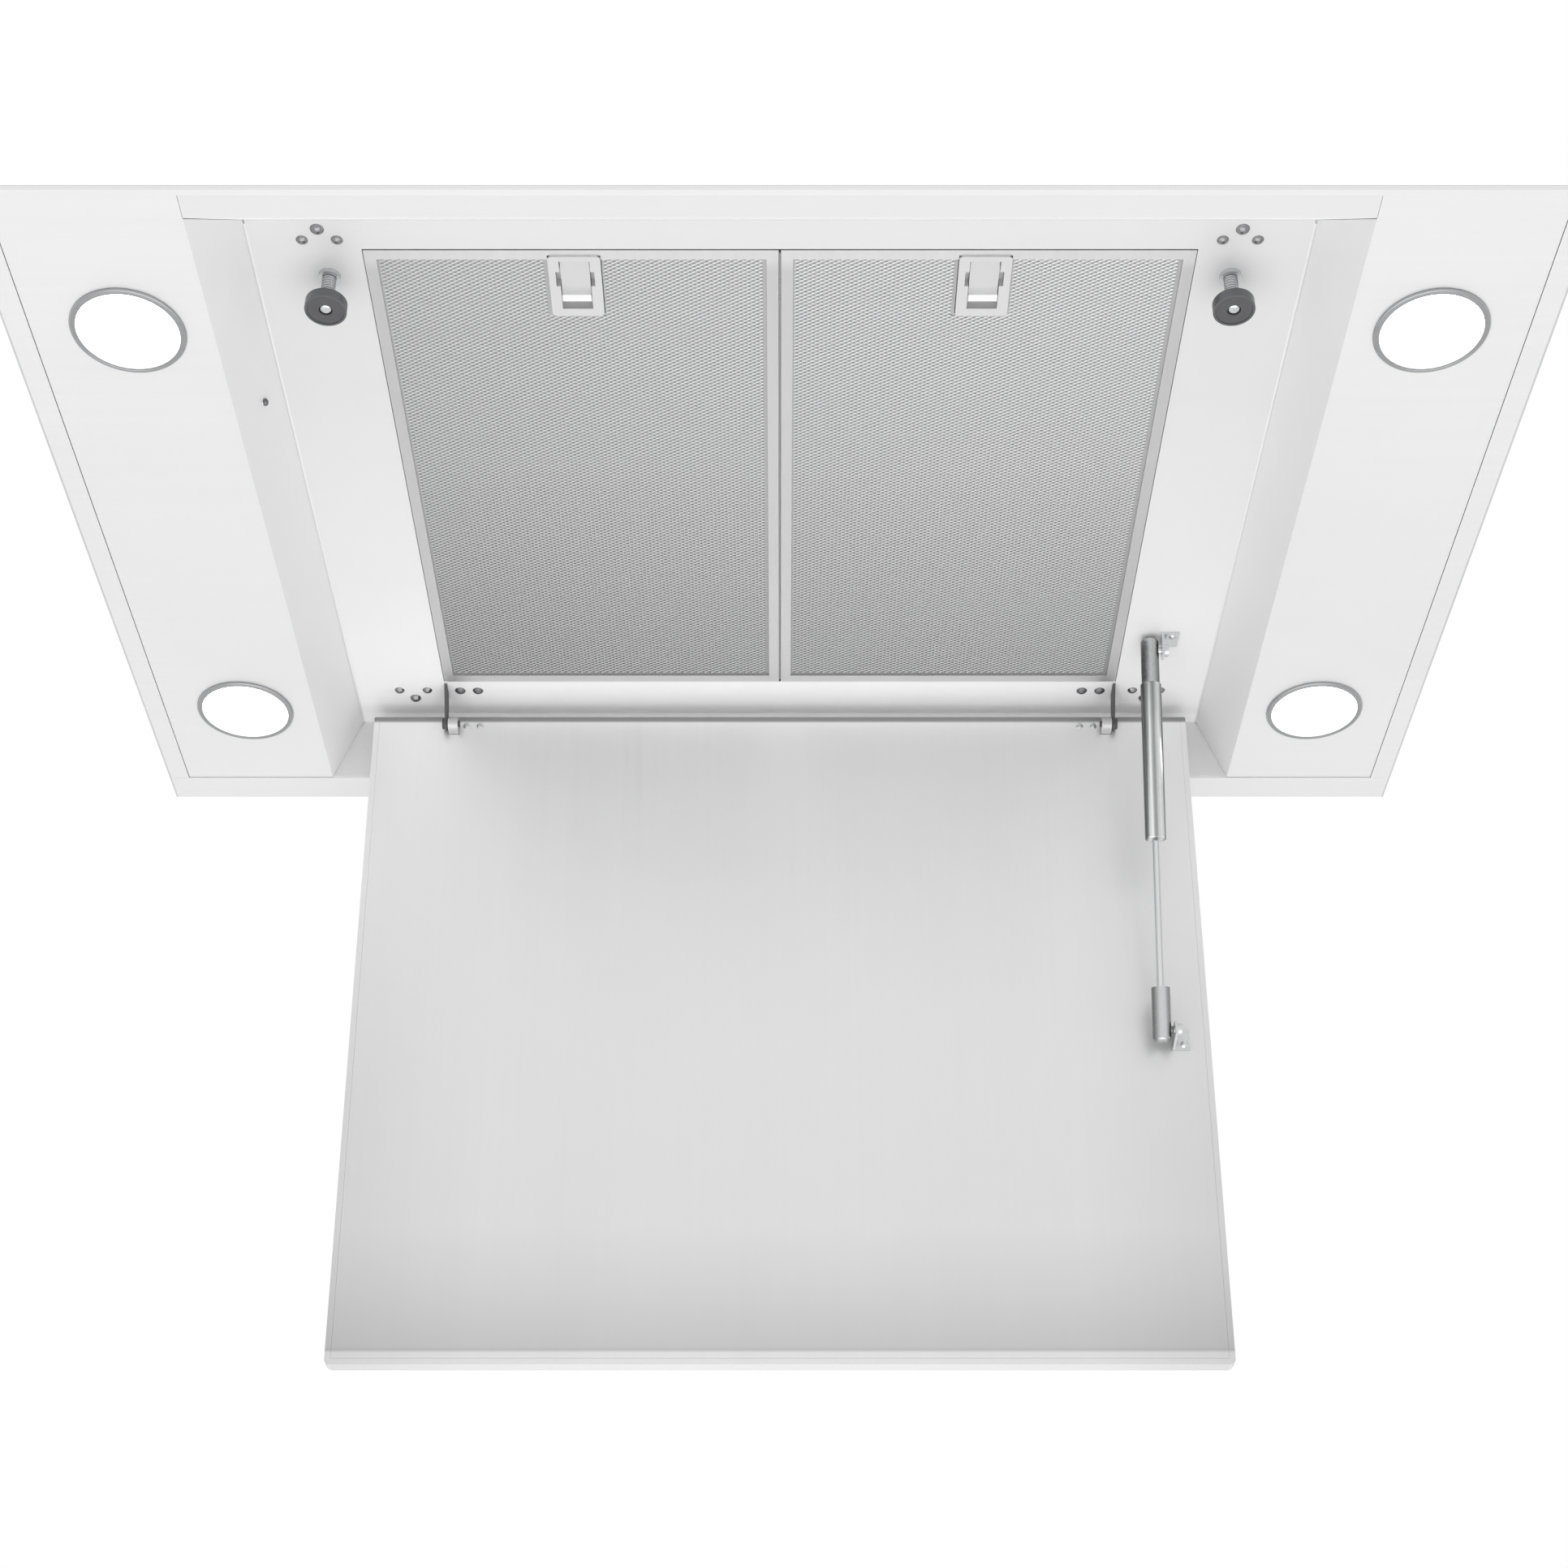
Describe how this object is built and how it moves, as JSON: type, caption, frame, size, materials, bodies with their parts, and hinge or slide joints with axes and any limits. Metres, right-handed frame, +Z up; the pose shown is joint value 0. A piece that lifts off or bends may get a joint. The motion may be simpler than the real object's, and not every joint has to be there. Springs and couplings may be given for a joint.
{
  "type": "under cabinet range hood",
  "caption": "Under cabinet range hood with a hinged suction panel hanging open on a gas strut, twin mesh filters, side lamp strips and a top duct collar.",
  "frame": {"origin": "centre of the top mounting plane, midway between the four cabinet screw holes", "axes": "+Z up, +X to the right seen from the front, -Y towards the cook, +Y towards the wall"},
  "size_m": [0.76, 0.496, 0.5737],
  "materials": {
    "steel_shell": "satin brushed",
    "steel_recess": "satin brushed",
    "steel_panel": "satin brushed",
    "lamp_ring": "satin",
    "lamp_lens": "frosted diffuser",
    "die_cast": "cast",
    "bright_zinc": "bright zinc plated",
    "magnet_black": "sintered magnet",
    "screw_steel": "bright",
    "screw_dark": "black oxide",
    "filter_frame": "satin",
    "filter_mesh": "expanded mesh",
    "latch": "polished",
    "strut_chrome": "polished",
    "strut_socket": "moulded",
    "galvanised": "galvanised",
    "motor_black": "semi gloss",
    "impeller": "moulded",
    "shaft_steel": "ground",
    "capacitor": "moulded",
    "pcb": "solder mask",
    "button": "moulded",
    "bezel_black": "moulded",
    "driver_case": "moulded",
    "terminal": "moulded",
    "wire": "insulation"
  },
  "bodies": {
    "hood": {"top_plate": "steel_shell", "back_plate": "steel_shell", "side_panels": "steel_shell", "front_fascia": "steel_shell", "rim_flanges": "steel_shell", "light_panels": "steel_shell", "recess_front": "steel_recess", "recess_rear_wall": "steel_recess", "recess_side_walls": "steel_recess", "recess_floor": "steel_recess", "lamp_bezels": "lamp_ring", "lamp_lenses": "lamp_lens", "lamp_housings": "die_cast", "magnet_posts": "bright_zinc", "magnet_cups": "bright_zinc", "magnet_cores": "magnet_black", "underside_fasteners": "screw_steel", "hinge_brackets": "screw_steel", "hinge_screws": "screw_dark", "strut_top_bracket": "screw_steel", "duct_collar": "galvanised", "scroll_housing": "galvanised", "scroll_inlet_plate": "galvanised", "discharge_box": "galvanised", "motor_bracket": "galvanised", "motor": "motor_black", "capacitor": "capacitor", "button_bezel": "bezel_black", "control_board": "pcb", "junction_box": "galvanised", "junction_cover": "galvanised", "terminal_block": "terminal", "lamp_driver": "driver_case", "wiring_leads": "wire"},
    "panel": {"panel_outer": "steel_panel", "panel_inner": "steel_panel", "panel_stiffeners": "galvanised", "panel_hinge_leaves": "screw_steel", "panel_screws": "screw_steel", "panel_strut_stud": "screw_steel"},
    "strut_cylinder": {"strut_top_socket": "strut_socket", "strut_cylinder": "strut_chrome"},
    "strut_rod": {"strut_rod": "strut_chrome", "strut_rod_socket": "strut_socket"},
    "blower_wheel": {"impeller": "impeller", "motor_shaft": "shaft_steel"},
    "damper_rear": {"damper_flap_rear": "galvanised"},
    "damper_front": {"damper_flap_front": "galvanised"},
    "filter_left": {"filter_frame_left": "filter_frame", "filter_mesh_left": "filter_mesh", "filter_latch_cup_left": "latch"},
    "latch_left": {"latch_slider_left": "latch"},
    "filter_right": {"filter_frame_right": "filter_frame", "filter_mesh_right": "filter_mesh", "filter_latch_cup_right": "latch"},
    "latch_right": {"latch_slider_right": "latch"},
    "button_1": {"button_1": "button"},
    "button_2": {"button_2": "button"},
    "button_3": {"button_3": "button"},
    "button_4": {"button_4": "button"}
  },
  "joints": [
    {"name": "panel_hinge", "type": "hinge", "parent": "hood", "child": "panel", "pos_m": [0, 0.1125, -0.127], "axis": [-1, 0, 0], "range_deg": [0, 94]},
    {"name": "strut_pivot", "type": "hinge", "parent": "hood", "child": "strut_cylinder", "pos_m": [0.222, 0.0525, -0.1165], "axis": [-1, 0, 0], "range_deg": [0, 107]},
    {"name": "strut_slide", "type": "slide", "parent": "strut_cylinder", "child": "strut_rod", "axis": [0, 0.2915, -0.9566], "range_m": [-0.0815, 0]},
    {"name": "blower_spin", "type": "hinge", "parent": "hood", "child": "blower_wheel", "pos_m": [-0.178, 0.01, -0.05], "axis": [0, 0, 1], "continuous": true},
    {"name": "damper_rear_hinge", "type": "hinge", "parent": "hood", "child": "damper_rear", "pos_m": [0, 0.063, 0.009], "axis": [1, 0, 0], "range_deg": [0, 75]},
    {"name": "damper_front_hinge", "type": "hinge", "parent": "hood", "child": "damper_front", "pos_m": [0, 0.057, 0.009], "axis": [-1, 0, 0], "range_deg": [0, 75]},
    {"name": "filter_left_hinge", "type": "hinge", "parent": "hood", "child": "filter_left", "pos_m": [-0.1035, 0.094, -0.1082], "axis": [-1, 0, 0], "range_deg": [-30, 0]},
    {"name": "latch_left_slide", "type": "slide", "parent": "filter_left", "child": "latch_left", "axis": [0, 1, 0], "range_m": [0, 0.0045], "stiffness_N_per_m": 150},
    {"name": "filter_right_hinge", "type": "hinge", "parent": "hood", "child": "filter_right", "pos_m": [0.1035, 0.094, -0.1082], "axis": [-1, 0, 0], "range_deg": [-30, 0]},
    {"name": "latch_right_slide", "type": "slide", "parent": "filter_right", "child": "latch_right", "axis": [0, 1, 0], "range_m": [0, 0.0045], "stiffness_N_per_m": 150},
    {"name": "button_1_press", "type": "slide", "parent": "hood", "child": "button_1", "axis": [0, 0.6346, -0.7728], "range_m": [0, 0.002], "stiffness_N_per_m": 400},
    {"name": "button_2_press", "type": "slide", "parent": "hood", "child": "button_2", "axis": [0, 0.6346, -0.7728], "range_m": [0, 0.002], "stiffness_N_per_m": 400},
    {"name": "button_3_press", "type": "slide", "parent": "hood", "child": "button_3", "axis": [0, 0.6346, -0.7728], "range_m": [0, 0.002], "stiffness_N_per_m": 400},
    {"name": "button_4_press", "type": "slide", "parent": "hood", "child": "button_4", "axis": [0, 0.6346, -0.7728], "range_m": [0, 0.002], "stiffness_N_per_m": 400}
  ],
  "couplings": [
    {"joint": "strut_pivot", "follows": "panel_hinge", "ratio": 1.1237},
    {"joint": "strut_slide", "follows": "panel_hinge", "m_per_rad": -0.049088}
  ]
}
